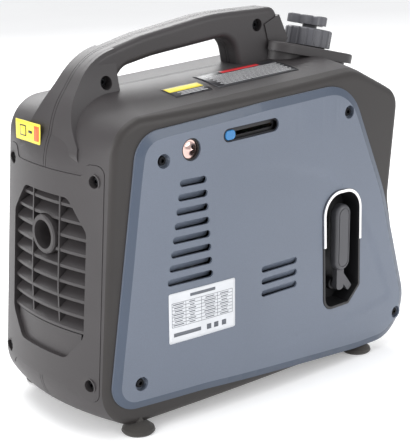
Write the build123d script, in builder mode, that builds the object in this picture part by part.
"""Portable inverter generator: suitcase housing, engine, alternator, tank and controls.

Frame: +Z up, feet on z = 0, +X towards the control panel, -X towards the exhaust,
-Y is the side with the starter grip. Millimetres.
"""
import math
import os

from build123d import *

os.makedirs("parts", exist_ok=True)

# ---------------------------------------------------------------- driving dimensions
WALL = 3.0  # moulded housing wall
GAP = 0.4  # clearance round a removable part
FOOT_H = 9.0  # height of the housing floor above the ground

SHELL_HALF = 93.0  # half width of the two centre shells
END_LEAN = 0.075  # the exhaust end leans outwards by this much per millimetre downwards
END_CROWN = 15.0  # how far the exhaust end bulges on the centre line
TOP_CROWN = 13.0  # how far the top bulges on the centre line
SHOULDER_R = 33.0  # extra radius of the shoulder behind the handle, on the centre line

SIDE_Y = 110.0  # side face of a side frame
COVER_Y = 115.5  # outer face of a side cover
SIDE_R_EXHAUST = 1700.0  # plan radius of the side faces, exhaust half
SIDE_R_PANEL = 6000.0  # and control-panel half
COVER_WALL = 2.6

HANDLE_HALF = 18.0  # half width of the carrying handle
HANDLE_ROUND = 7.0

CRANK_Z = 133.0  # height of the crankshaft axis
REEL_R = 33.0  # radius on which the starter rope lies
REEL_X = 122.0
ROPE_R = 2.0

SIDE_CORNERS = [  # x, z and corner radius of the centre shell's side outline, at its side seam
    (-228.1, FOOT_H, 46),
    (-202.6, 343.6, 42),
    (146, 362.7, 60),
    (225, 324.5, 28),
    (198.5, FOOT_H, 30),
]
FRAME_CORNERS = SIDE_CORNERS[:4] + [(212, 196, 60), (253, 12, 48)]
COVER_CORNERS = [
    (-218.5, 31.5, 28),
    (-176.5, 329, 32),
    (-10, 342.5, 400),
    (129, 348.3, 60),
    (195, 207.3, 300),
    (256.4, 11, 50),
    (150, 12, 200),
    (-98, 29.4, 300),
]


def outline(corners):
    """Closed wire through corner points with rounded corners, as (x, y, radius)."""
    points = [(x, z) for x, z, _ in corners]
    return FilletPolyline(*points, radius=[r for _, _, r in corners], close=True)


def outline_face(plane, corners, inset=0.0):
    """Face inside an outline, made smaller by inset (or larger if it is negative)."""
    with BuildSketch(plane) as sketch:
        with BuildLine():
            outline(corners)
        make_face()
        if inset:
            offset(amount=-inset, mode=Mode.REPLACE)
    return sketch.sketch


def shell_face(y, crown, inset):
    """Side outline of the centre shell at y; crown runs from 0 at the seam to 1 at the centre."""
    end, top = END_CROWN * crown, TOP_CROWN * crown
    grown = [(-end, 0, 0), (-end, top, SHOULDER_R * crown), (0, 0.8 * top, 0), (0, 0.5 * top, 0), (0, 0, 0)]
    inward = [(1, 1), (1, -1), (0, -1), (-1, -1), (-1, 1)]
    corners = []
    for (x, z, r), (dx, dz, dr), (ix, iz) in zip(SIDE_CORNERS, grown, inward):
        corners.append((x + dx + ix * inset, z + dz + iz * inset, r + dr - inset))
    return outline_face(Plane.XZ.offset(-y), corners)


def shell_solid(inset, half=SHELL_HALF):
    """Crowned solid that the outer skin of the centre shells follows, lofted across the width."""
    with BuildPart() as solid:
        loft([shell_face(y, c, inset) for y, c in ((-half, 0), (0, 1), (half, 0))])
    return solid.part


def side_drop(x):
    """How far a side face falls back from its highest line at x = 0."""
    return x * x / (2 * (SIDE_R_EXHAUST if x < 0 else SIDE_R_PANEL))


def side_y(x, depth=0.0):
    """Outer face of the right side cover at x, less a depth."""
    return -COVER_Y + side_drop(x) + depth


def side_slab(outer, inner):
    """Solid between two crowned faces on the right side, outer and inner in mm from the centre."""
    reach, low, high = 270.0, -10.0, 400.0
    with BuildPart() as slab:
        with BuildSketch(Plane.XY.offset(low)):
            with BuildLine():
                ends = []
                for level in (outer, inner):
                    left, mid = (-reach, side_drop(-reach) - level), (0, -level)
                    right = (reach, side_drop(reach) - level)
                    ThreePointArc(left, (-reach / 2, side_drop(-reach / 2) - level), mid)
                    ThreePointArc(mid, (reach / 2, side_drop(reach / 2) - level), right)
                    ends.append((left, right))
                Line(ends[0][0], ends[1][0])
                Line(ends[0][1], ends[1][1])
            make_face()
        extrude(amount=high - low)
    return slab.part


def along(origin, z_dir, x_dir=(0, 1, 0)):
    """Plane at a point, facing along z_dir."""
    return Plane(origin=origin, x_dir=x_dir, z_dir=z_dir)


def tube_x(x0, x1, r_out, r_in=0.0, y=0.0, z=0.0):
    """Round tube or rod along X between two stations."""
    with BuildPart(Plane(origin=(x0, y, z), x_dir=(0, 1, 0), z_dir=(1, 0, 0))) as tube:
        Cylinder(r_out, x1 - x0, align=(Align.CENTER, Align.CENTER, Align.MIN))
        if r_in:
            Cylinder(r_in, x1 - x0, align=(Align.CENTER, Align.CENTER, Align.MIN), mode=Mode.SUBTRACT)
    return tube.part


def box_between(low, high, radius=0.0):
    """Box from its low corner to its high corner, with rounded upright edges."""
    size = [b - a for a, b in zip(low, high)]
    middle = [(a + b) / 2 for a, b in zip(low, high)]
    with BuildPart(Plane(origin=middle)) as block:
        Box(*size)
        if radius:
            fillet(block.edges().filter_by(Axis.Z), radius)
    return block.part


# ---------------------------------------------------------------- screws
def screw(plane, length=14.0, head_r=5.0, head_h=3.6, shank_r=2.1, socket_r=2.4):
    """Pan-head screw with a hexagon socket; the plane is its seat and faces out of the head."""
    with BuildPart(plane) as body:
        Cylinder(head_r, head_h, align=(Align.CENTER, Align.CENTER, Align.MIN))
        fillet(body.faces().sort_by(Axis(plane.origin, plane.z_dir))[-1].edges(), 1.2)
        with BuildSketch(plane.offset(head_h)):
            RegularPolygon(socket_r, 6)
        extrude(amount=-2.2, mode=Mode.SUBTRACT)
        Cylinder(shank_r, length, align=(Align.CENTER, Align.CENTER, Align.MAX))
    return body.part


# ---------------------------------------------------------------- centre shells with the handle
HANDLE_OUTER = [  # side outline of the handle, x, z and radius, on the centre line
    (-221, 291, 12),
    (-208, 345, 90),
    (-170, 397, 70),
    (-100, 414, 120),
    (0, 429, 300),
    (96, 430, 12),
    (150, 322, 12),
    (-180, 291, 12),
]
FINGER_GAP = [(-139, 338, 12), (-136, 381, 22), (-86, 390.3, 150), (30, 402.5, 22), (46, 336, 12)]
BUTTRESS = HANDLE_OUTER[:3] + [(-138, 404.5, 2), (-138, 340, 2), (-190, 291, 2)]
HANDLE_SCREWS = [(-154, 369), (67, 411)]
PLATE_TILT = 12.8  # the filler platform falls this many degrees towards the control panel
PLATE_LOW = (88.0, 380.0)  # x and z of its lower edge at the handle end
PLATE_T = 11.5
PLATE_L, PLATE_W, PLATE_R, PLATE_MID = 140.0, 88.0, 26.0, 62.0
NECK_X = 78.0  # from that edge to the filler neck, along the plate
tilt = math.radians(PLATE_TILT)
plate_plane = Plane(
    origin=(PLATE_LOW[0], 0, PLATE_LOW[1]),
    x_dir=(math.cos(tilt), 0, -math.sin(tilt)),
    z_dir=(math.sin(tilt), 0, math.cos(tilt)),
)
TONGUE = [(78, 411), (101, 421), (116, 392), (104, 372), (87, 381)]  # tank surround against the handle

END_PANEL = [  # y and z of the exhaust end panel's outline, right half, with corner radii
    (60, 285, 6),
    (66, 298, 8),
    (88, 298, 10),
    (90, 44, 12),
    (70, 43, 10),
    (60, 54, 6),
]
END_PANEL_ALL = END_PANEL + [(-y, z, r) for y, z, r in reversed(END_PANEL)]
END_SCREWS = [(76, 281), (78, 61.5)]
LEDGE = 7.0  # width of the ledge behind the end panel

PANEL_TOP, PANEL_LOW, PANEL_HALF = 296.0, 58.0, 74.0  # control panel opening
end_face_lean = math.atan((225 - 198.5) / (324.5 - 9))


def end_face_x(z):
    """X of the control-panel end of the shells at height z."""
    return 198.5 + (z - FOOT_H) * math.tan(end_face_lean)


panel_plane = Plane(
    origin=(end_face_x(177), 0, 177),
    x_dir=(0, 1, 0),
    z_dir=(math.cos(end_face_lean), 0, -math.sin(end_face_lean)),
)


def end_outline_prism(inset):
    """Prism along X through the end panel's outline."""
    with BuildPart() as prism:
        extrude(outline_face(Plane.YZ.offset(-270), END_PANEL_ALL, inset), amount=100)
    return prism.part


def handle_end(x, z):
    """Plane on the near side of the handle, facing -Y."""
    return Plane(origin=(x, -HANDLE_HALF, z), x_dir=(1, 0, 0), z_dir=(0, -1, 0))


def end_x(z):
    """X of the exhaust end's crowned face on the centre line."""
    return SIDE_CORNERS[0][0] - END_CROWN + END_LEAN * (z - FOOT_H)


end_screw_planes = []  # on the end panel's face, facing out of it
for y, z in END_SCREWS:
    for side in (-1, 1):
        seat = Vector(end_x(z) + END_CROWN * (y / SHELL_HALF) ** 2, side * y, z)
        end_screw_planes.append(Plane(origin=seat, x_dir=(0, 1, 0), z_dir=(-1, 0, -END_LEAN)))

shell_outer = shell_solid(0)
shell_inner = shell_solid(WALL, SHELL_HALF + 1)

with BuildPart() as handle:
    extrude(outline_face(Plane.XZ, HANDLE_OUTER), amount=HANDLE_HALF, both=True)
    fillet(handle.faces().filter_by(Axis.Y).edges(), HANDLE_ROUND)
    gap_face = outline_face(Plane.XZ, FINGER_GAP)
    extrude(gap_face, amount=HANDLE_HALF + 1, both=True, mode=Mode.SUBTRACT)
    rims = ShapeList()
    for flank in handle.faces().filter_by(Axis.Y):
        rims += flank.inner_wires()[0].edges()
    fillet(rims, HANDLE_ROUND)

with BuildPart() as buttress:
    extrude(outline_face(Plane.XZ, BUTTRESS), amount=60, both=True)
    with BuildSketch(Plane.YZ.offset(-260)):
        with BuildLine():
            ThreePointArc((18, 407), (24.5, 357), (52, 312))
            Line((52, 312), (57, 280))
            Line((57, 280), (0, 280))
            Line((0, 280), (0, 407))
            Line((0, 407), (18, 407))
        make_face()
        mirror(about=Plane.YZ)
    extrude(amount=140, mode=Mode.INTERSECT)

SEAM_Y, SEAM_WIDTH, SEAM_DEPTH = 2.1, 0.7, 0.7
with BuildPart() as seam_core:  # everything deeper than the two grooves beside the centre seam
    extrude(outline_face(Plane.XZ, HANDLE_OUTER, SEAM_DEPTH), amount=5, both=True)
    extrude(outline_face(Plane.XZ, FINGER_GAP, -SEAM_DEPTH), amount=6, both=True, mode=Mode.SUBTRACT)
    add(shell_solid(SEAM_DEPTH))
    extrude(outline_face(Plane.XZ, BUTTRESS, SEAM_DEPTH), amount=5, both=True)
    add(box_between((50, -6, 300), (260, 6, 440)))
with BuildPart() as seam_grooves:
    for side in (-1, 1):
        with Locations((0, side * SEAM_Y, 220)):
            Box(520, SEAM_WIDTH, 460)
    add(seam_core.part, mode=Mode.SUBTRACT)

POST = box_between((20, -HANDLE_HALF - 1, 366), (150, HANDLE_HALF + 1, 440))
with BuildPart() as post:  # the handle's foot beside the filler
    add(handle.part)
    add(POST, mode=Mode.INTERSECT)

with BuildPart() as housing:
    add(shell_outer)
    add(handle.part)
    add(buttress.part)
    with BuildSketch(plate_plane):
        with Locations((PLATE_MID, 0)):
            RectangleRounded(PLATE_L - 12, PLATE_W - 16, PLATE_R - 4)
    extrude(amount=-46)
    add(shell_inner, mode=Mode.SUBTRACT)
    with BuildSketch(plate_plane.offset(-0.05)):  # level seat for the tank surround
        with Locations((PLATE_MID, 0)):
            RectangleRounded(PLATE_L + 1, PLATE_W + 1, PLATE_R + 0.5)
    extrude(amount=30, mode=Mode.SUBTRACT)
    with Locations(plate_plane.offset(1)):
        with Locations((NECK_X, 0)):
            Cylinder(27, 90, align=(Align.CENTER, Align.CENTER, Align.MAX), mode=Mode.SUBTRACT)
    # opening and rebate for the end panel, with a ledge behind it
    add((shell_solid(WALL - 0.4) - shell_solid(WALL + 2.6)) & end_outline_prism(-5))
    add(end_outline_prism(LEDGE), mode=Mode.SUBTRACT)
    add((shell_solid(-3) - shell_solid(WALL - 0.4)) & end_outline_prism(-GAP), mode=Mode.SUBTRACT)
    # opening for the control panel
    with BuildSketch(panel_plane.offset(2)):
        RectangleRounded(2 * PANEL_HALF, PANEL_TOP - PANEL_LOW, 10)
    extrude(amount=-12, mode=Mode.SUBTRACT)
    add(post.part)
    add(seam_grooves.part, mode=Mode.SUBTRACT)
    # seat for the tank surround's tongue
    with BuildSketch(Plane.XZ):
        Polygon(*TONGUE, align=None)
        offset(amount=GAP, mode=Mode.REPLACE)
    extrude(amount=HANDLE_HALF + 3, both=True, mode=Mode.SUBTRACT)
    for x, z in HANDLE_SCREWS:
        with Locations(handle_end(x, z)):
            CounterBoreHole(2.2, 7.5, 8, 30)
    for plane in end_screw_planes:
        with Locations(plane):
            Cylinder(8.6, 8.2, align=(Align.CENTER, Align.CENTER, Align.MAX), mode=Mode.SUBTRACT)
            Cylinder(2.2, 30, align=(Align.CENTER, Align.CENTER, Align.MAX), mode=Mode.SUBTRACT)


with BuildPart() as housing_right:
    add(housing.part)
    split(bisect_by=Plane.XZ, keep=Keep.TOP)

with BuildPart() as housing_left:
    mirror(housing_right.part, about=Plane.XZ)
    for x, z in HANDLE_SCREWS:
        with Locations(handle_end(x, z)):
            Cylinder(2.2, 60, mode=Mode.SUBTRACT)

housing_right.part.label = "housing_right"
export_step(housing_right.part, "parts/housing_right.step")
housing_left.part.label = "housing_left"
export_step(housing_left.part, "parts/housing_left.step")

# ---------------------------------------------------------------- side frames
COVER_SCREWS = [(-148, 298), (124.5, 314), (-181, 59), (223, 42)]
POCKET_R = 7.8
POCKET_DEPTH = 6.0


def cover_plane(x, z, depth=0.0):
    """Plane on the right side cover's outer face at x and z, facing -Y."""
    return Plane(origin=(x, side_y(x, depth), z), x_dir=(1, 0, 0), z_dir=(0, -1, 0))


FRAME_TAPER = 18.0

with BuildPart() as side_frame_right:
    extrude(outline_face(Plane.XZ.offset(SHELL_HALF), FRAME_CORNERS), amount=30, taper=FRAME_TAPER)
    add(side_slab(SIDE_Y, 60), mode=Mode.INTERSECT)
    rims = side_frame_right.edges().filter_by(
        lambda e: e.center().Y < -side_drop(0) - 96 and not (abs(e.center().X) < 1 and e.length > 200)
    )
    rims = rims.filter_by(lambda e: abs(e.center().Y + SIDE_Y - side_drop(e.center().X)) < 1.5)
    fillet(rims, 10)
    outer_frame = side_frame_right.part
    with BuildPart(mode=Mode.PRIVATE) as frame_inside:
        extrude(
            outline_face(Plane.XZ.offset(SHELL_HALF - 1), FRAME_CORNERS, WALL + 0.3),
            amount=30,
            taper=FRAME_TAPER,
        )
        add(side_slab(SIDE_Y - WALL, 60), mode=Mode.INTERSECT)
    add(frame_inside.part, mode=Mode.SUBTRACT)
    with BuildPart(mode=Mode.PRIVATE) as frame_window:
        extrude(outline_face(Plane.XZ.offset(90), COVER_CORNERS, 14.5), amount=40)
        for x, z in COVER_SCREWS:
            with Locations(Plane.XZ.offset(85)):
                with Locations((x, z)):
                    Cylinder(20, 60, mode=Mode.SUBTRACT)
    add(frame_window.part, mode=Mode.SUBTRACT)
    for x, z in COVER_SCREWS:  # screw bosses behind the cover's pockets
        with Locations(cover_plane(x, z, COVER_Y - SIDE_Y)):
            Cylinder(11, 6.8, align=(Align.CENTER, Align.CENTER, Align.MAX))
    add(side_slab(SIDE_Y, 60), mode=Mode.INTERSECT)
    for x, z in COVER_SCREWS:
        with Locations(cover_plane(x, z, COVER_Y - SIDE_Y)):
            CounterBoreHole(2.15, 9.9, 3.2, 40)
with BuildPart() as side_frame_left:
    mirror(side_frame_right.part, about=Plane.XZ)
side_frame_right.part.label = "side_frame_right"
export_step(side_frame_right.part, "parts/side_frame_right.step")
side_frame_left.part.label = "side_frame_left"
export_step(side_frame_left.part, "parts/side_frame_left.step")

# ---------------------------------------------------------------- side covers
SLOT_H = 8.0
LEFT_VENTS = [(-128.5 - 2.5 * i, -93.5 + 1.1 * i, 271 - 15.2 * i) for i in range(8)]
LOW_VENTS = [(-15, 42, 152 - 14.4 * i) for i in range(3)]
STARTER_HOLE = [(83, 223, 28), (149, 222.5, 28), (152.5, 96, 6), (132, 76, 6), (88, 76, 16)]
CHOKE_AT, CHOKE_LEAN = (-30.5, 315.0), 2.4
CHOKE_LENGTH, CHOKE_H = 80.0, 15.0
PRIMER_AT = (-113.0, 305.5)
PRIMER_R = 11.0


def vent_prism(vents):
    """Rounded slots cut through a side cover, with both ends rounded."""
    with BuildPart() as prism:
        for x0, x1, z in vents:
            with BuildSketch(Plane.XZ.offset(90)):
                with Locations(((x0 + x1) / 2, z)):
                    SlotOverall(x1 - x0, SLOT_H)
        extrude(amount=40)
    return prism.part


with BuildPart() as cover_blank:
    extrude(outline_face(Plane.XZ.offset(90), COVER_CORNERS), amount=40)
    add(side_slab(COVER_Y, SIDE_Y + 0.05), mode=Mode.INTERSECT)
    edge_line = cover_blank.edges().filter_by(
        lambda e: abs(e.center().Y + COVER_Y - side_drop(e.center().X)) < 1.2 and e.length > 1
    )
    edge_line = edge_line.filter_by(lambda e: not (abs(e.center().X) < 1 and e.length > 200))
    chamfer(edge_line, 3.2, 9)
    with BuildPart(mode=Mode.PRIVATE) as cover_inside:
        extrude(outline_face(Plane.XZ.offset(90), COVER_CORNERS, 12), amount=40)
        add(side_slab(COVER_Y - COVER_WALL, 60), mode=Mode.INTERSECT)
    add(cover_inside.part, mode=Mode.SUBTRACT)
    for x, z in COVER_SCREWS:  # screw pockets
        with Locations(cover_plane(x, z, 1.5)):
            Cylinder(POCKET_R + 1.8, 7, align=(Align.CENTER, Align.CENTER, Align.MAX))
    for x, z in COVER_SCREWS:
        with Locations(cover_plane(x, z)):
            CounterBoreHole(2.4, POCKET_R, POCKET_DEPTH, 30)

with BuildPart() as side_cover_right:
    add(cover_blank.part)
    add(vent_prism(LEFT_VENTS + LOW_VENTS), mode=Mode.SUBTRACT)
    with BuildSketch(Plane.XZ.offset(90)):
        with BuildLine():
            outline(STARTER_HOLE)
        make_face()
        with Locations(CHOKE_AT):
            SlotOverall(CHOKE_LENGTH, CHOKE_H, rotation=CHOKE_LEAN)
        with Locations(PRIMER_AT):
            Circle(PRIMER_R + 1.2)
    extrude(amount=40, mode=Mode.SUBTRACT)
with BuildPart() as side_cover_left:
    mirror(cover_blank.part, about=Plane.XZ)
    mirror(vent_prism(LEFT_VENTS + LOW_VENTS), about=Plane.XZ, mode=Mode.SUBTRACT)
side_cover_right.part.label = "side_cover_right"
export_step(side_cover_right.part, "parts/side_cover_right.step")
side_cover_left.part.label = "side_cover_left"
export_step(side_cover_left.part, "parts/side_cover_left.step")

with BuildPart() as cover_screws:
    for x, z in COVER_SCREWS:
        add(screw(cover_plane(x, z, POCKET_DEPTH), length=12))
    mirror(cover_screws.part, about=Plane.XZ)

# ---------------------------------------------------------------- exhaust end panel
GRILLE = [(40, 259, 12), (68, 226, 12), (68, 112, 16), (42, 84, 14)]
GRILLE_ALL = GRILLE + [(-y, z, r) for y, z, r in reversed(GRILLE)]
SLAT_PITCH = 16.7
SLAT_ROWS = 9
SLAT_LOW = 118.0
RIB_Y = 25.0
OUTLET_Z = 212.0
OUTLET_R = 21.5


def grille_prism(inset):
    """Prism along X through the grille recess."""
    with BuildPart() as prism:
        extrude(outline_face(Plane.YZ.offset(-270), GRILLE_ALL, inset), amount=120)
    return prism.part


END_ARC_R = (SHELL_HALF**2 + END_CROWN**2) / (2 * END_CROWN)  # radius of the end's crown in plan
SLAT_IN, SLAT_RISE, SLAT_T, SLAT_START = 13.5, 10.0, 3.2, 2.6
with BuildPart() as louvres:
    for row in range(SLAT_ROWS):  # each slat is a strip of a cone, level along the crowned face
        z = SLAT_LOW + SLAT_PITCH * row
        front = end_x(z) + SLAT_START
        back = front + SLAT_IN
        with BuildSketch(Plane.XZ):
            Polygon((front, z), (back, z + SLAT_RISE), (back, z + SLAT_RISE - 1.6), (front, z - SLAT_T),
                    align=None)
        centre = Axis((end_x(z) + END_ARC_R, 0, 0), (0, 0, 1))
        revolve(axis=centre, revolution_arc=16)
    mirror(louvres.part, about=Plane.XZ)
    for y in (-RIB_Y, RIB_Y):
        with Locations((end_x(172) + 9, y, 172)):
            Box(14, 2.2, 178)
    add(grille_prism(0.4), mode=Mode.INTERSECT)
    add(shell_solid(2.2), mode=Mode.INTERSECT)
    with Locations(Plane(origin=(-250, 0, OUTLET_Z), x_dir=(0, 1, 0), z_dir=(1, 0, 0))):
        Cylinder(OUTLET_R + 1, 60, align=(Align.CENTER, Align.CENTER, Align.MIN), mode=Mode.SUBTRACT)

with BuildPart() as exhaust_end_panel:
    add((shell_solid(-0.6) - shell_solid(WALL - 0.5)) & end_outline_prism(0))
    add(grille_prism(0), mode=Mode.SUBTRACT)
    add((shell_solid(1.2) - shell_solid(14)) & (grille_prism(-2) - grille_prism(0)))
    floor_low = box_between((-260, -60, 70), (-150, 60, SLAT_LOW - 5))
    add((shell_solid(4.5) - shell_solid(7)) & grille_prism(-0.5) & floor_low)
    add(louvres.part)
    for plane in end_screw_planes:
        with Locations(plane):
            Cylinder(8.2, 8, align=(Align.CENTER, Align.CENTER, Align.MAX))
        with Locations(plane.offset(2)):
            CounterBoreHole(2.4, 6.6, 7.5, 30)
exhaust_end_panel.part.label = "exhaust_end_panel"
export_step(exhaust_end_panel.part, "parts/exhaust_end_panel.step")

with BuildPart() as case_screws:  # every casing screw, as separate solids
    add(cover_screws.part)
    for plane in end_screw_planes:
        add(screw(plane.offset(-5.5), length=10))
    for x, z in HANDLE_SCREWS:
        add(screw(handle_end(x, z).offset(-8), length=9))
case_screws.part.label = "case_screws"
export_step(case_screws.part, "parts/case_screws.step")

# ---------------------------------------------------------------- exhaust: muffler, outlet, arrester, shield
MUFFLER = ((-190, -60, 150), (-108, 60, 258))
MUFFLER_WALL = 1.6
OUTLET_X = end_x(OUTLET_Z) - 1
PIPE_R = 15.0

with BuildPart() as muffler:
    add(box_between(*MUFFLER))
    fillet(muffler.edges(), 12)
    offset(amount=-MUFFLER_WALL, mode=Mode.SUBTRACT)
    add(tube_x(MUFFLER[0][0] - 14, MUFFLER[0][0] + 8, PIPE_R, 0, 0, OUTLET_Z))
    add(tube_x(MUFFLER[1][0] - 8, MUFFLER[1][0] + 10, 13, 0, 0, 236))
    add(tube_x(MUFFLER[0][0] - 14, MUFFLER[0][0] + 8, PIPE_R - 2, 0, 0, OUTLET_Z), mode=Mode.SUBTRACT)
    add(tube_x(MUFFLER[1][0] - 8, MUFFLER[1][0] + 10, 10, 0, 0, 236), mode=Mode.SUBTRACT)
muffler.part.label = "muffler"
export_step(muffler.part, "parts/muffler.step")

with BuildPart() as exhaust_outlet:
    with BuildSketch(Plane.XZ):
        with Locations((OUTLET_X, OUTLET_Z)):
            Polygon((0, 16), (0, 20), (1.6, OUTLET_R), (20, OUTLET_R), (20, 19), (34, 16.8), (34, 15.1),
                    (17, 15.1), (6, 15.3), align=None)
    revolve(axis=Axis((OUTLET_X, 0, OUTLET_Z), (1, 0, 0)))
exhaust_outlet.part.label = "exhaust_outlet"
export_step(exhaust_outlet.part, "parts/exhaust_outlet.step")

with BuildPart() as spark_arrester:
    add(tube_x(OUTLET_X + 17.5, OUTLET_X + 20, 14.8, 0, 0, OUTLET_Z))
    with BuildSketch(Plane(origin=(OUTLET_X + 17, 0, OUTLET_Z), x_dir=(0, 1, 0), z_dir=(1, 0, 0))):
        with GridLocations(4.4, 4.4, 5, 5):
            Circle(1.6)
    extrude(amount=5, mode=Mode.SUBTRACT)
spark_arrester.part.label = "spark_arrester"
export_step(spark_arrester.part, "parts/spark_arrester.step")

with BuildPart() as heat_shield:
    add(box_between((-104, -66, 146), (-102.8, 66, 266)))
    add(box_between((-186, -66, 264.8), (-102.8, 66, 266)))
    with Locations(Plane(origin=(-106, 0, 236), x_dir=(0, 1, 0), z_dir=(1, 0, 0))):
        Cylinder(15, 10, align=(Align.CENTER, Align.CENTER, Align.MIN), mode=Mode.SUBTRACT)
heat_shield.part.label = "heat_shield"
export_step(heat_shield.part, "parts/heat_shield.step")

# ---------------------------------------------------------------- engine
CASE = ((-60, -56, 44), (36, 56, 186))
BORE_R = 21.0
SHAFT_R = 10.0
BEARING_R, BEARING_W = 20.0, 11.0
CYL_X = -12.0

with BuildPart() as crankcase:
    add(box_between(*CASE, 14))
    add(tube_x(CASE[0][0] + 14, CASE[1][0] - 14, 44, 0, 0, CRANK_Z), mode=Mode.SUBTRACT)
    add(tube_x(CASE[0][0] - 1, CASE[1][0] + 1, SHAFT_R + 2, 0, 0, CRANK_Z), mode=Mode.SUBTRACT)
    add(tube_x(CASE[1][0] - BEARING_W, CASE[1][0] + 1, BEARING_R, 0, 0, CRANK_Z), mode=Mode.SUBTRACT)
    add(tube_x(CASE[0][0] - 1, CASE[0][0] + BEARING_W, BEARING_R, 0, 0, CRANK_Z), mode=Mode.SUBTRACT)
    with Locations((CYL_X, 0, CASE[1][2] + 1)):
        Cylinder(BORE_R + 3, 30, align=(Align.CENTER, Align.CENTER, Align.MAX), mode=Mode.SUBTRACT)
    with Locations(Plane(origin=(-20, CASE[1][1] - 3, 70), x_dir=(1, 0, 0), z_dir=(0, 1, 0))):
        Cylinder(12, 9, align=(Align.CENTER, Align.CENTER, Align.MIN))
        Cylinder(8.05, 40, mode=Mode.SUBTRACT)
crankcase.part.label = "crankcase"
export_step(crankcase.part, "parts/crankcase.step")

with BuildPart() as crank_bearings:
    for x in (CASE[0][0], CASE[1][0] - BEARING_W):
        add(tube_x(x, x + BEARING_W, BEARING_R, SHAFT_R + 0.06, 0, CRANK_Z))
crank_bearings.part.label = "crank_bearings"
export_step(crank_bearings.part, "parts/crank_bearings.step")

with BuildPart() as crankshaft:
    add(tube_x(CASE[0][0] - 2, 112, SHAFT_R, 0, 0, CRANK_Z))
    for x in (-34, 0):
        add(tube_x(x, x + 9, 32, 0, 0, CRANK_Z))
crankshaft.part.label = "crankshaft"
export_step(crankshaft.part, "parts/crankshaft.step")

with BuildPart() as cylinder_barrel:
    with Locations((CYL_X, 0, CASE[1][2])):
        Cylinder(BORE_R + 7, 52, align=(Align.CENTER, Align.CENTER, Align.MIN))
    for i in range(6):
        z = CASE[1][2] + 5 + 8 * i
        add(box_between((CYL_X - 42, -40, z), (CYL_X + 42, 40, z + 2.4), 12))
    with Locations((CYL_X, 0, CASE[1][2] - 1)):
        Cylinder(BORE_R, 60, align=(Align.CENTER, Align.CENTER, Align.MIN), mode=Mode.SUBTRACT)
cylinder_barrel.part.label = "cylinder_barrel"
export_step(cylinder_barrel.part, "parts/cylinder_barrel.step")

HEAD_Z = CASE[1][2] + 52
with BuildPart() as cylinder_head:
    add(box_between((CYL_X - 34, -30, HEAD_Z), (CYL_X + 34, 30, HEAD_Z + 22), 8))
    for i in range(3):
        z = HEAD_Z + 3 + 7 * i
        add(box_between((CYL_X - 42, -40, z), (CYL_X + 42, 40, z + 2.4), 12))
    with Locations(Plane(origin=(CYL_X, 20, HEAD_Z + 11), x_dir=(1, 0, 0), z_dir=(0, 1, 0))):
        Cylinder(5.1, 30, align=(Align.CENTER, Align.CENTER, Align.MIN), mode=Mode.SUBTRACT)
cylinder_head.part.label = "cylinder_head"
export_step(cylinder_head.part, "parts/cylinder_head.step")

with BuildPart() as rocker_cover:
    add(box_between((CYL_X - 32, -28, HEAD_Z + 22), (CYL_X + 32, 28, HEAD_Z + 42), 10))
    fillet(rocker_cover.faces().sort_by(Axis.Z)[-1].edges(), 6)
    add(box_between((CYL_X - 27, -23, HEAD_Z + 22), (CYL_X + 27, 23, HEAD_Z + 37), 6), mode=Mode.SUBTRACT)
rocker_cover.part.label = "rocker_cover"
export_step(rocker_cover.part, "parts/rocker_cover.step")

def plug_plane(y):
    """Plane across the spark plug's axis."""
    return Plane(origin=(CYL_X, y, HEAD_Z + 11), x_dir=(1, 0, 0), z_dir=(0, 1, 0))


with BuildPart() as spark_plug:
    for y, radius, length in ((20, 5, 21), (50, 4, 16)):
        with Locations(plug_plane(y)):
            Cylinder(radius, length, align=(Align.CENTER, Align.CENTER, Align.MIN))
    with BuildSketch(plug_plane(41)):
        RegularPolygon(9, 6)
    extrude(amount=9)
spark_plug.part.label = "spark_plug"
export_step(spark_plug.part, "parts/spark_plug.step")

with BuildPart(plug_plane(52)) as plug_cap:
    Cylinder(9, 24, align=(Align.CENTER, Align.CENTER, Align.MIN))
    fillet(plug_cap.faces().sort_by(Axis.Y)[-1].edges(), 4)
    Cylinder(4, 14, align=(Align.CENTER, Align.CENTER, Align.MIN), mode=Mode.SUBTRACT)

with BuildPart(Plane(origin=(-20, CASE[1][1] + 6.2, 70), x_dir=(1, 0, 0), z_dir=(0, 1, 0))) as oil_filler_plug:
    Cylinder(13, 8, align=(Align.CENTER, Align.CENTER, Align.MIN))
    with PolarLocations(13.5, 12):
        Cylinder(2, 20, mode=Mode.SUBTRACT)
    Cylinder(7.9, 14, align=(Align.CENTER, Align.CENTER, Align.MAX))
oil_filler_plug.part.label = "oil_filler_plug"
export_step(oil_filler_plug.part, "parts/oil_filler_plug.step")

# ---------------------------------------------------------------- alternator and recoil starter
ROTOR_R = 62.0
ROTOR_X = (46.0, 80.0)

with BuildPart() as flywheel_rotor:
    add(tube_x(*ROTOR_X, ROTOR_R, 0, 0, CRANK_Z))
    add(tube_x(ROTOR_X[0] - 1, ROTOR_X[1] - 5, ROTOR_R - 8, 0, 0, CRANK_Z), mode=Mode.SUBTRACT)
    add(tube_x(ROTOR_X[1] - 22, ROTOR_X[1], 17, 0, 0, CRANK_Z))
    add(tube_x(ROTOR_X[0] - 1, ROTOR_X[1] + 1, SHAFT_R, 0, 0, CRANK_Z), mode=Mode.SUBTRACT)
flywheel_rotor.part.label = "flywheel_rotor"
export_step(flywheel_rotor.part, "parts/flywheel_rotor.step")

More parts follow.
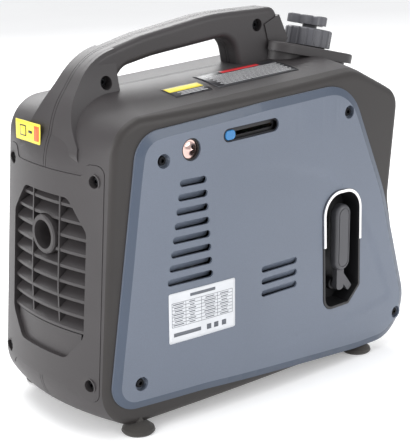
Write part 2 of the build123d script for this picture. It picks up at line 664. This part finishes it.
FAN_BLADES = 14
with BuildPart() as cooling_fan:
    add(tube_x(ROTOR_X[1], ROTOR_X[1] + 3, ROTOR_R, SHAFT_R, 0, CRANK_Z))
    fan_plane = Plane(origin=(ROTOR_X[1] + 3, 0, CRANK_Z), x_dir=(0, 1, 0), z_dir=(1, 0, 0))
    with BuildSketch(fan_plane):
        with PolarLocations(46, FAN_BLADES):
            Rectangle(28, 2, rotation=25)
    extrude(amount=13)
cooling_fan.part.label = "cooling_fan"
export_step(cooling_fan.part, "parts/cooling_fan.step")

STATOR_POLES = 12
with BuildPart() as stator:
    stator_plane = Plane(origin=(52, 0, CRANK_Z), x_dir=(0, 1, 0), z_dir=(1, 0, 0))
    with BuildSketch(stator_plane):
        Circle(27)
        with PolarLocations(38, STATOR_POLES):
            Rectangle(26, 7)
        Circle(52)
        Circle(48.5, mode=Mode.SUBTRACT)
        Circle(19, mode=Mode.SUBTRACT)
        Circle(27)
        Circle(19, mode=Mode.SUBTRACT)
        with PolarLocations(38, STATOR_POLES):
            Rectangle(26, 7)
    extrude(amount=4)
    add(tube_x(CASE[1][0], 52, 25, 21, 0, CRANK_Z))
stator.part.label = "stator"
export_step(stator.part, "parts/stator.step")

with BuildPart() as ignition_coil:
    add(box_between((48, -18, CRANK_Z + ROTOR_R + 1.5), (76, 18, CRANK_Z + ROTOR_R + 26), 5))
    add(plug_cap.part)
ignition_coil.part.label = "ignition_coil"
export_step(ignition_coil.part, "parts/ignition_coil.step")

REEL_W = 5.0
SPRING_X = (REEL_X + 5.5, REEL_X + 10.5)
with BuildPart() as rope_reel:
    with BuildSketch(Plane.XZ):
        with Locations((REEL_X, CRANK_Z)):
            Polygon((-5, 7.06), (-5, 39), (-3.2, 39), (-2.2, REEL_R - ROPE_R), (2.2, REEL_R - ROPE_R),
                    (3.2, 39), (5, 39), (5, 7.06), align=None)
    revolve(axis=Axis((REEL_X, 0, CRANK_Z), (1, 0, 0)))
    add(tube_x(REEL_X - 14, REEL_X - 5, 14, 11, 0, CRANK_Z))
rope_reel.part.label = "rope_reel"
export_step(rope_reel.part, "parts/rope_reel.step")

HOUSING_BACK = REEL_X + 13
with BuildPart() as recoil_housing:
    add(tube_x(REEL_X - 21, HOUSING_BACK, 74, 71.5, 0, CRANK_Z))
    add(tube_x(HOUSING_BACK - 2.5, HOUSING_BACK, 74, 0, 0, CRANK_Z))
    add(tube_x(REEL_X - 5.5, HOUSING_BACK - 2, 7, 0, 0, CRANK_Z))
    with BuildSketch(Plane(origin=(HOUSING_BACK, 0, CRANK_Z), x_dir=(0, 1, 0), z_dir=(1, 0, 0))):
        with PolarLocations(54, 12, start_angle=15):
            SlotOverall(22, 8)
    extrude(amount=-6, mode=Mode.SUBTRACT)
    with Locations(Plane(origin=(REEL_X, -60, CRANK_Z - REEL_R), x_dir=(1, 0, 0), z_dir=(0, -1, 0))):
        Cylinder(4.5, 30, mode=Mode.SUBTRACT)
recoil_housing.part.label = "recoil_housing"
export_step(recoil_housing.part, "parts/recoil_housing.step")

with BuildPart() as recoil_spring:
    for r in (12, 16, 20, 24, 28):
        add(tube_x(*SPRING_X, r + 1.2, r, 0, CRANK_Z))
    add(box_between((SPRING_X[0], 8, CRANK_Z - 0.6), (SPRING_X[1], 29, CRANK_Z + 0.6)))
recoil_spring.part.label = "recoil_spring"
export_step(recoil_spring.part, "parts/recoil_spring.step")

# ---------------------------------------------------------------- starter recess, grip and rope
RECESS_BACK = 84.0  # the recess floor stands this far from the centre plane
ROPE_Z = CRANK_Z - REEL_R
EYE_FRONT = 97.0

with BuildPart() as starter_recess:
    extrude(outline_face(Plane.XZ.offset(RECESS_BACK), STARTER_HOLE, 0.4), amount=40)
    add(side_slab(COVER_Y - 1.0, 60), mode=Mode.INTERSECT)
    with BuildPart(mode=Mode.PRIVATE) as recess_hollow:
        extrude(outline_face(Plane.XZ.offset(RECESS_BACK + 2.2), STARTER_HOLE, 3.4), amount=40)
    add(recess_hollow.part, mode=Mode.SUBTRACT)
    with Locations(Plane(origin=(REEL_X, -RECESS_BACK - 2, ROPE_Z), x_dir=(1, 0, 0), z_dir=(0, -1, 0))):
        Cylinder(8, EYE_FRONT - RECESS_BACK - 2, align=(Align.CENTER, Align.CENTER, Align.MIN))
    fillet(starter_recess.faces().filter_by(Axis.Y).filter_by(
        lambda f: abs(f.center().Y + EYE_FRONT) < 0.1).edges(), 2)
    with Locations(Plane(origin=(REEL_X, -RECESS_BACK + 5, ROPE_Z), x_dir=(1, 0, 0), z_dir=(0, -1, 0))):
        Cylinder(3.2, 30, align=(Align.CENTER, Align.CENTER, Align.MIN), mode=Mode.SUBTRACT)
starter_recess.part.label = "starter_recess"
export_step(starter_recess.part, "parts/starter_recess.step")

TRIM_LOW = 156.0
with BuildPart() as starter_trim:
    extrude(outline_face(Plane.XZ.offset(90), STARTER_HOLE, 0.4), amount=40)
    add(side_slab(COVER_Y + 0.8, COVER_Y - 0.95), mode=Mode.INTERSECT)
    with BuildPart(mode=Mode.PRIVATE) as trim_hollow:
        extrude(outline_face(Plane.XZ.offset(80), STARTER_HOLE, 3.8), amount=60)
    add(trim_hollow.part, mode=Mode.SUBTRACT)
    split(bisect_by=Plane.XY.offset(TRIM_LOW), keep=Keep.TOP)
starter_trim.part.label = "starter_trim"
export_step(starter_trim.part, "parts/starter_trim.step")

GRIP_Y = 106.0
GRIP_W, GRIP_L, GRIP_MID = 25.0, 82.0, 161.5
with BuildPart() as starter_grip:
    with BuildSketch(Plane.XZ.offset(GRIP_Y - 6.5)):
        with Locations((REEL_X, GRIP_MID)):
            RectangleRounded(GRIP_W, GRIP_L, GRIP_W / 2 - 0.2)
    extrude(amount=13)
    fillet(starter_grip.faces().filter_by(Axis.Y).edges(), 4.5)
    with BuildSketch(Plane.XZ.offset(GRIP_Y + 6.5)):  # groove round the front face
        with Locations((REEL_X, GRIP_MID)):
            RectangleRounded(GRIP_W - 8, GRIP_L - 9, GRIP_W / 2 - 4.2)
            RectangleRounded(GRIP_W - 10, GRIP_L - 11, GRIP_W / 2 - 5.2, mode=Mode.SUBTRACT)
    extrude(amount=-0.9, mode=Mode.SUBTRACT)
    with BuildSketch(Plane.XZ.offset(GRIP_Y - 5)):
        with Locations((REEL_X, 112)):
            RectangleRounded(12, 34, 5)
        with Locations(Location((REEL_X + 9, 104, 0), (0, 0, -52))):
            RectangleRounded(26, 8.5, 2)
    extrude(amount=7)
    with Locations(Plane(origin=(REEL_X, -EYE_FRONT - 0.5, ROPE_Z), x_dir=(1, 0, 0), z_dir=(0, -1, 0))):
        Cylinder(5, 5, align=(Align.CENTER, Align.CENTER, Align.MIN))
starter_grip.part.label = "starter_grip"
export_step(starter_grip.part, "parts/starter_grip.step")

with BuildPart() as starter_rope:
    with Locations(Plane(origin=(REEL_X, 0, ROPE_Z), x_dir=(1, 0, 0), z_dir=(0, -1, 0))):
        Cylinder(ROPE_R, EYE_FRONT + 0.5, align=(Align.CENTER, Align.CENTER, Align.MIN))
starter_rope.part.label = "starter_rope"
export_step(starter_rope.part, "parts/starter_rope.step")

# ---------------------------------------------------------------- choke and primer
choke_lean = math.radians(CHOKE_LEAN)


def choke_plane(depth):
    """Plane parallel to the choke slot, at a depth behind the cover's face."""
    return Plane(
        origin=(CHOKE_AT[0], -COVER_Y + depth, CHOKE_AT[1]),
        x_dir=(math.cos(choke_lean), 0, math.sin(choke_lean)),
        z_dir=(0, -1, 0),
    )


with BuildPart() as choke_bezel:
    with BuildSketch(choke_plane(7)):
        SlotOverall(CHOKE_LENGTH - 0.8, CHOKE_H - 0.8)
        SlotOverall(CHOKE_LENGTH - 3.4, CHOKE_H - 3.2, mode=Mode.SUBTRACT)
    extrude(amount=5)
choke_bezel.part.label = "choke_bezel"
export_step(choke_bezel.part, "parts/choke_bezel.step")

with BuildPart() as choke_plate:
    with BuildSketch(choke_plane(9.2)):
        RectangleRounded(CHOKE_LENGTH + 10, 17, 4)
        with Locations((0, -1)):
            SlotOverall(CHOKE_LENGTH - 8, 4.6, mode=Mode.SUBTRACT)
    extrude(amount=2)
choke_plate.part.label = "choke_plate"
export_step(choke_plate.part, "parts/choke_plate.step")

with BuildPart() as choke_lever:
    with BuildSketch(choke_plane(6.9)):
        with Locations((-30.2, 0)):
            RectangleRounded(14, 10.6, 4.5)
    extrude(amount=6.4)
    fillet(choke_lever.faces().sort_by(Axis.Y)[0].edges(), 1.5)
    with BuildSketch(choke_plane(6.9)):
        with Locations((-30.2, -1)):
            RectangleRounded(8, 3.6, 1)
    extrude(amount=-9)
    with BuildSketch(choke_plane(15.9)):
        with Locations((-30.2, 0)):
            RectangleRounded(14, 12, 2)
    extrude(amount=2.5)
choke_lever.part.label = "choke_lever"
export_step(choke_lever.part, "parts/choke_lever.step")



def primer_plane(depth):
    """Plane across the primer's axis, at a depth behind the cover's face."""
    return cover_plane(*PRIMER_AT, depth)


with BuildPart(primer_plane(16)) as primer_base:
    Cylinder(PRIMER_R + 0.8, 14.5, align=(Align.CENTER, Align.CENTER, Align.MIN))
    with Locations((0, 0, 3)):
        Cylinder(PRIMER_R - 0.5, 14, align=(Align.CENTER, Align.CENTER, Align.MIN), mode=Mode.SUBTRACT)
primer_base.part.label = "primer_base"
export_step(primer_base.part, "parts/primer_base.step")

with BuildPart() as primer_bulb:
    with BuildSketch(Plane(origin=primer_plane(4).origin, x_dir=(1, 0, 0), z_dir=(0, 0, 1))):
        with BuildLine():
            bulb_r = PRIMER_R - 1.2
            Line((0, 0), (0, -7))
            RadiusArc((0, -7), (bulb_r, 0), bulb_r * 0.95)
            Line((bulb_r, 0), (bulb_r, 4))
            Line((bulb_r, 4), (0, 4))
            Line((0, 4), (0, 0))
        make_face()
    revolve(axis=Axis(primer_plane(4).origin, (0, 1, 0)))
primer_bulb.part.label = "primer_bulb"
export_step(primer_bulb.part, "parts/primer_bulb.step")

# ---------------------------------------------------------------- tank surround, tank and cap
with BuildPart() as tank_surround:
    with BuildSketch(plate_plane):
        with Locations((PLATE_MID, 0)):
            RectangleRounded(PLATE_L, PLATE_W, PLATE_R)
    extrude(amount=PLATE_T)
    fillet(tank_surround.faces().sort_by(Axis(plate_plane.origin, plate_plane.z_dir))[-1].edges(), 3)
    with BuildSketch(Plane.XZ):
        Polygon(*TONGUE, align=None)
    extrude(amount=HANDLE_HALF + 1.5, both=True)
    with BuildSketch(Plane.XZ):
        with BuildLine():
            outline(HANDLE_OUTER)
        make_face()
        Polygon(*TONGUE, align=None, mode=Mode.SUBTRACT)
    extrude(amount=HANDLE_HALF + 4, both=True, mode=Mode.SUBTRACT)
    with Locations(plate_plane.offset(PLATE_T)):
        with Locations((NECK_X, 0)):
            Hole(24, 40)
tank_surround.part.label = "tank_surround"
export_step(tank_surround.part, "parts/tank_surround.step")

neck_plane = Plane(
    origin=plate_plane.from_local_coords(Vector(NECK_X, 0, PLATE_T + 0.6)),
    x_dir=plate_plane.x_dir,
    z_dir=plate_plane.z_dir,
)
TANK = ((46, -84, 262), (176, 82, 338))
TANK_WALL = 3
tank_inside = box_between(
    [edge + TANK_WALL for edge in TANK[0]], [edge - TANK_WALL for edge in TANK[1]], 16 - TANK_WALL
)
with BuildPart() as fuel_tank:
    add(box_between(*TANK, 16))
    with Locations(neck_plane):
        Cylinder(22, 52, align=(Align.CENTER, Align.CENTER, Align.MAX))
    add(tank_inside, mode=Mode.SUBTRACT)
    with Locations(neck_plane):
        Cylinder(19.5, 60, align=(Align.CENTER, Align.CENTER, Align.MAX), mode=Mode.SUBTRACT)
fuel_tank.part.label = "fuel_tank"
export_step(fuel_tank.part, "parts/fuel_tank.step")

CAP_R = 29.0
CAP_GAP = 0.3  # the seal stands clear of the neck
with BuildPart(neck_plane.offset(CAP_GAP)) as cap_gasket:
    Cylinder(23, 2 - CAP_GAP, align=(Align.CENTER, Align.CENTER, Align.MIN))
    Cylinder(17, 2, align=(Align.CENTER, Align.CENTER, Align.MIN), mode=Mode.SUBTRACT)
cap_gasket.part.label = "cap_gasket"
export_step(cap_gasket.part, "parts/cap_gasket.step")

with BuildPart(neck_plane.offset(2)) as cap_insert:
    Cylinder(24, 4, align=(Align.CENTER, Align.CENTER, Align.MIN))
    Cylinder(16.6, 11, align=(Align.CENTER, Align.CENTER, Align.MAX))
    with Locations((0, 0, 4)):
        Cylinder(7, 6, align=(Align.CENTER, Align.CENTER, Align.MIN))
    with Locations((0, 0, -11)):
        Cylinder(14.6, 9, align=(Align.CENTER, Align.CENTER, Align.MIN), mode=Mode.SUBTRACT)
cap_insert.part.label = "cap_insert"
export_step(cap_insert.part, "parts/cap_insert.step")

CAP_H = 21.4
with BuildPart(neck_plane.offset(1.2)) as cap_shell:
    Cylinder(CAP_R, CAP_H, align=(Align.CENTER, Align.CENTER, Align.MIN))
    fillet(cap_shell.faces().sort_by(Axis(neck_plane.origin, neck_plane.z_dir))[-1].edges(), 3)
    with PolarLocations(CAP_R + 1.2, 18):
        Cylinder(2.4, 60, mode=Mode.SUBTRACT)
    Cylinder(24.5, 5.3, align=(Align.CENTER, Align.CENTER, Align.MIN), mode=Mode.SUBTRACT)
    Cylinder(7.06, 11.6, align=(Align.CENTER, Align.CENTER, Align.MIN), mode=Mode.SUBTRACT)
    with Locations((0, 0, CAP_H)):
        Cylinder(9, 4, align=(Align.CENTER, Align.CENTER, Align.MIN))
cap_shell.part.label = "cap_shell"
export_step(cap_shell.part, "parts/cap_shell.step")

with BuildPart() as vent_knob:
    with BuildSketch(neck_plane.offset(1.2 + CAP_H + 4.3)):
        Circle(16.1)
        with PolarLocations(17.25, 3, start_angle=20):
            SlotOverall(23, 15)
    extrude(amount=11)
    fillet(vent_knob.faces().sort_by(Axis(neck_plane.origin, neck_plane.z_dir))[-1].edges(), 2)
vent_knob.part.label = "vent_knob"
export_step(vent_knob.part, "parts/vent_knob.step")

# ---------------------------------------------------------------- fuel line, carburettor and air filter
CARB = ((-66, -60, 284), (-30, -26, 316))
with BuildPart() as carburettor:
    add(box_between(*CARB, 6))
    with Locations((-48, -45, CARB[0][2])):
        Cylinder(14, 22, align=(Align.CENTER, Align.CENTER, Align.MAX))
    with Locations(Plane(origin=(-48, -26, 300), x_dir=(1, 0, 0), z_dir=(0, 1, 0))):
        Cylinder(14, 18, align=(Align.CENTER, Align.CENTER, Align.MIN))
        Cylinder(9, 90, mode=Mode.SUBTRACT)
    with Locations(Plane(origin=(CARB[1][0], -39, 292), x_dir=(0, 1, 0), z_dir=(1, 0, 0))):
        Cylinder(3, 12, align=(Align.CENTER, Align.CENTER, Align.MIN))
carburettor.part.label = "carburettor"
export_step(carburettor.part, "parts/carburettor.step")

AIR_BOX = ((-100, -8, 280), (-22, 76, 330))
with BuildPart() as air_filter_box:
    add(box_between(*AIR_BOX, 10))
    add(box_between([edge + 2 for edge in AIR_BOX[0]], [edge - 2 for edge in AIR_BOX[1]], 8), mode=Mode.SUBTRACT)
    with Locations(Plane(origin=(-48, AIR_BOX[0][1] - 1, 300), x_dir=(1, 0, 0), z_dir=(0, 1, 0))):
        Cylinder(9, 6, align=(Align.CENTER, Align.CENTER, Align.MIN), mode=Mode.SUBTRACT)
air_filter_box.part.label = "air_filter_box"
export_step(air_filter_box.part, "parts/air_filter_box.step")

with BuildPart() as air_filter_foam:
    add(box_between((-96, 22, 284), (-26, 50, 326), 6))
air_filter_foam.part.label = "air_filter_foam"
export_step(air_filter_foam.part, "parts/air_filter_foam.step")

HOSE_PATH = [(-18, -39, 292), (4, -39, 292), (24, -46, 276), (44, -52, 252), (66, -52, 246), (66, -52, 262)]
HOSE_RADII = [24, 26, 26, 8]
with BuildPart() as fuel_hose:
    with BuildLine():
        FilletPolyline(*HOSE_PATH, radius=HOSE_RADII)
    with BuildSketch(Plane(origin=HOSE_PATH[0], x_dir=(0, 1, 0), z_dir=(1, 0, 0))):
        Circle(3.6)
    sweep()
fuel_hose.part.label = "fuel_hose"
export_step(fuel_hose.part, "parts/fuel_hose.step")

# ---------------------------------------------------------------- base, mounts and inverter
BASE = ((-166, -74, FOOT_H + WALL), (164, 74, FOOT_H + WALL + 2.5))
with BuildPart() as base_plate:
    add(box_between(*BASE, 12))
base_plate.part.label = "base_plate"
export_step(base_plate.part, "parts/base_plate.step")

with BuildPart() as engine_mounts:
    with Locations((CYL_X, 0, BASE[1][2])):
        with GridLocations(70, 80, 2, 2):
            Cylinder(12, CASE[0][2] - BASE[1][2], align=(Align.CENTER, Align.CENTER, Align.MIN))
engine_mounts.part.label = "engine_mounts"
export_step(engine_mounts.part, "parts/engine_mounts.step")

INVERTER = ((46, -62, BASE[1][2]), (172, 62, 52))
with BuildPart() as inverter_module:
    add(box_between(*INVERTER, 5))
    with Locations(((INVERTER[0][0] + INVERTER[1][0]) / 2, 0, INVERTER[1][2])):
        with GridLocations(0, 9, 1, 13):
            Box(118, 5, 8, align=(Align.CENTER, Align.CENTER, Align.MAX), mode=Mode.SUBTRACT)
inverter_module.part.label = "inverter_module"
export_step(inverter_module.part, "parts/inverter_module.step")

# ---------------------------------------------------------------- control panel
PLATE_BACK = WALL + 0.6  # the panel plate lies behind the shell's end wall


def on_panel(y, z, depth=PLATE_BACK):
    """Plane on the control panel at y and height z, at a depth behind the shell's end face."""
    local_y = (z - 177) / math.cos(end_face_lean)
    origin = panel_plane.from_local_coords(Vector(y, local_y, -depth))
    return Plane(origin=origin, x_dir=panel_plane.x_dir, z_dir=panel_plane.z_dir)


SOCKETS = [(34, 226), (-34, 226)]
SOCKET_R = 22.0
DC_AT, SWITCH_AT, GROUND_AT = (-44, 158), (0, 104), (52, 78)
BREAKER_AT, ECO_AT, LENS_Z = (44, 158), (0, 158), 276

with BuildPart() as control_panel:
    with BuildSketch(panel_plane.offset(-PLATE_BACK)):
        RectangleRounded(2 * PANEL_HALF + 12, PANEL_TOP - PANEL_LOW + 12, 14)
    extrude(amount=-3)
    for y, z in SOCKETS:
        with Locations(on_panel(y, z, 0)):
            Cylinder(SOCKET_R + 3.1, 30, mode=Mode.SUBTRACT)
    for (y, z), r in ((DC_AT, 14.1), (SWITCH_AT, 6.1), (GROUND_AT, 3.1), (BREAKER_AT, 7.2)):
        with Locations(on_panel(y, z, 0)):
            Cylinder(r, 30, mode=Mode.SUBTRACT)
    with Locations(on_panel(*ECO_AT, 0)):
        Box(15.4, 23.4, 30, mode=Mode.SUBTRACT)
    for y in (-20, 0, 20):
        with Locations(on_panel(y, LENS_Z, 0)):
            Cylinder(3.1, 30, mode=Mode.SUBTRACT)
control_panel.part.label = "control_panel"
export_step(control_panel.part, "parts/control_panel.step")

PIN_GAP = 19.0
with BuildPart() as ac_sockets:
    for y, z in SOCKETS:
        with Locations(on_panel(y, z)):
            Cylinder(SOCKET_R + 5, 2, align=(Align.CENTER, Align.CENTER, Align.MIN))
            Cylinder(SOCKET_R + 3, 24, align=(Align.CENTER, Align.CENTER, Align.MAX))
            with Locations((0, 0, 2)):
                Cylinder(SOCKET_R, 19, align=(Align.CENTER, Align.CENTER, Align.MAX), mode=Mode.SUBTRACT)
            with Locations((-PIN_GAP / 2, 0, -16), (PIN_GAP / 2, 0, -16)):
                Cylinder(2.5, 16, mode=Mode.SUBTRACT)
ac_sockets.part.label = "ac_sockets"
export_step(ac_sockets.part, "parts/ac_sockets.step")

with BuildPart(on_panel(*DC_AT)) as dc_socket:
    Cylinder(17, 2, align=(Align.CENTER, Align.CENTER, Align.MIN))
    Cylinder(14, 32, align=(Align.CENTER, Align.CENTER, Align.MAX))
    with Locations((0, 0, 2)):
        Cylinder(10.5, 30, align=(Align.CENTER, Align.CENTER, Align.MAX), mode=Mode.SUBTRACT)
dc_socket.part.label = "dc_socket"
export_step(dc_socket.part, "parts/dc_socket.step")

with BuildPart(on_panel(*BREAKER_AT)) as breaker_body:
    Cylinder(10, 1.6, align=(Align.CENTER, Align.CENTER, Align.MIN))
    Cylinder(7, 22, align=(Align.CENTER, Align.CENTER, Align.MAX))
    with Locations((0, 0, 2)):
        Cylinder(4.6, 14, align=(Align.CENTER, Align.CENTER, Align.MAX), mode=Mode.SUBTRACT)
breaker_body.part.label = "breaker_body"
export_step(breaker_body.part, "parts/breaker_body.step")

with BuildPart(on_panel(*BREAKER_AT, PLATE_BACK + 6)) as breaker_button:
    Cylinder(4.2, 12, align=(Align.CENTER, Align.CENTER, Align.MIN))
    fillet(breaker_button.faces().sort_by(Axis.X)[-1].edges(), 1)
breaker_button.part.label = "breaker_button"
export_step(breaker_button.part, "parts/breaker_button.step")

with BuildPart(on_panel(*ECO_AT)) as eco_switch_body:
    Box(19, 27, 1.6, align=(Align.CENTER, Align.CENTER, Align.MIN))
    Box(15, 23, 22, align=(Align.CENTER, Align.CENTER, Align.MAX))
    with Locations((0, 0, 2)):
        Box(13, 20.4, 18, align=(Align.CENTER, Align.CENTER, Align.MAX), mode=Mode.SUBTRACT)
eco_switch_body.part.label = "eco_switch_body"
export_step(eco_switch_body.part, "parts/eco_switch_body.step")

eco_plane = on_panel(*ECO_AT, PLATE_BACK + 6)
eco_side = Plane(origin=eco_plane.origin, x_dir=eco_plane.y_dir, z_dir=eco_plane.x_dir)
with BuildPart() as eco_rocker:
    with BuildSketch(eco_side):
        Polygon((-8, -1.5), (-8.6, 5.2), (0, 7.6), (8.6, 9.4), (7.6, -1.5), (0, -4.5), align=None)
    extrude(amount=5.6, both=True)
    with Locations(eco_side):
        Cylinder(2, 12.4)
eco_rocker.part.label = "eco_rocker"
export_step(eco_rocker.part, "parts/eco_rocker.step")

with BuildPart(on_panel(*SWITCH_AT, PLATE_BACK - 0.4)) as engine_switch_knob:
    Cylinder(19, 5, align=(Align.CENTER, Align.CENTER, Align.MIN))
    with Locations((0, 0, 5)):
        Box(11, 36, 12, align=(Align.CENTER, Align.CENTER, Align.MIN))
    fillet(engine_switch_knob.faces().sort_by(Axis.X)[-1].edges(), 2.5)
    Cylinder(6, 14, align=(Align.CENTER, Align.CENTER, Align.MAX))
engine_switch_knob.part.label = "engine_switch_knob"
export_step(engine_switch_knob.part, "parts/engine_switch_knob.step")

with BuildPart() as indicator_lenses:
    for y in (-20, 0, 20):
        lens_plane = on_panel(y, LENS_Z)
        with Locations(lens_plane):
            Cylinder(3, 6, align=(Align.CENTER, Align.CENTER, Align.MAX))
            Cylinder(4, 1.4, align=(Align.CENTER, Align.CENTER, Align.MIN))
indicator_lenses.part.label = "indicator_lenses"
export_step(indicator_lenses.part, "parts/indicator_lenses.step")

GROUND_R = 3.0
with BuildPart(on_panel(*GROUND_AT)) as ground_terminal:
    Cylinder(GROUND_R, 16, align=(Align.CENTER, Align.CENTER, Align.MIN))
    Cylinder(GROUND_R, 10, align=(Align.CENTER, Align.CENTER, Align.MAX))
    with BuildSketch(on_panel(*GROUND_AT)):
        RegularPolygon(6, 6)
    extrude(amount=4)
ground_terminal.part.label = "ground_terminal"
export_step(ground_terminal.part, "parts/ground_terminal.step")

# ---------------------------------------------------------------- feet
FOOT_X, FOOT_Y = (-179, 168), 95.0
FOOT_SIDE = [(0, 0), (17, 0), (18.5, 2), (17.5, 5), (12.5, 9), (5.5, 12), (5.5, 24), (0, 24)]
with BuildPart() as feet:
    for x in FOOT_X:
        with BuildSketch(Plane(origin=(x, -FOOT_Y, 0), x_dir=(1, 0, 0), z_dir=(0, -1, 0))):
            Polygon(*FOOT_SIDE, align=None)
        revolve(axis=Axis((x, -FOOT_Y, 0), (0, 0, 1)))
    add(shell_outer, mode=Mode.SUBTRACT)
    add(outer_frame, mode=Mode.SUBTRACT)
    mirror(feet.part, about=Plane.XZ)
feet.part.label = "feet"
export_step(feet.part, "parts/feet.step")
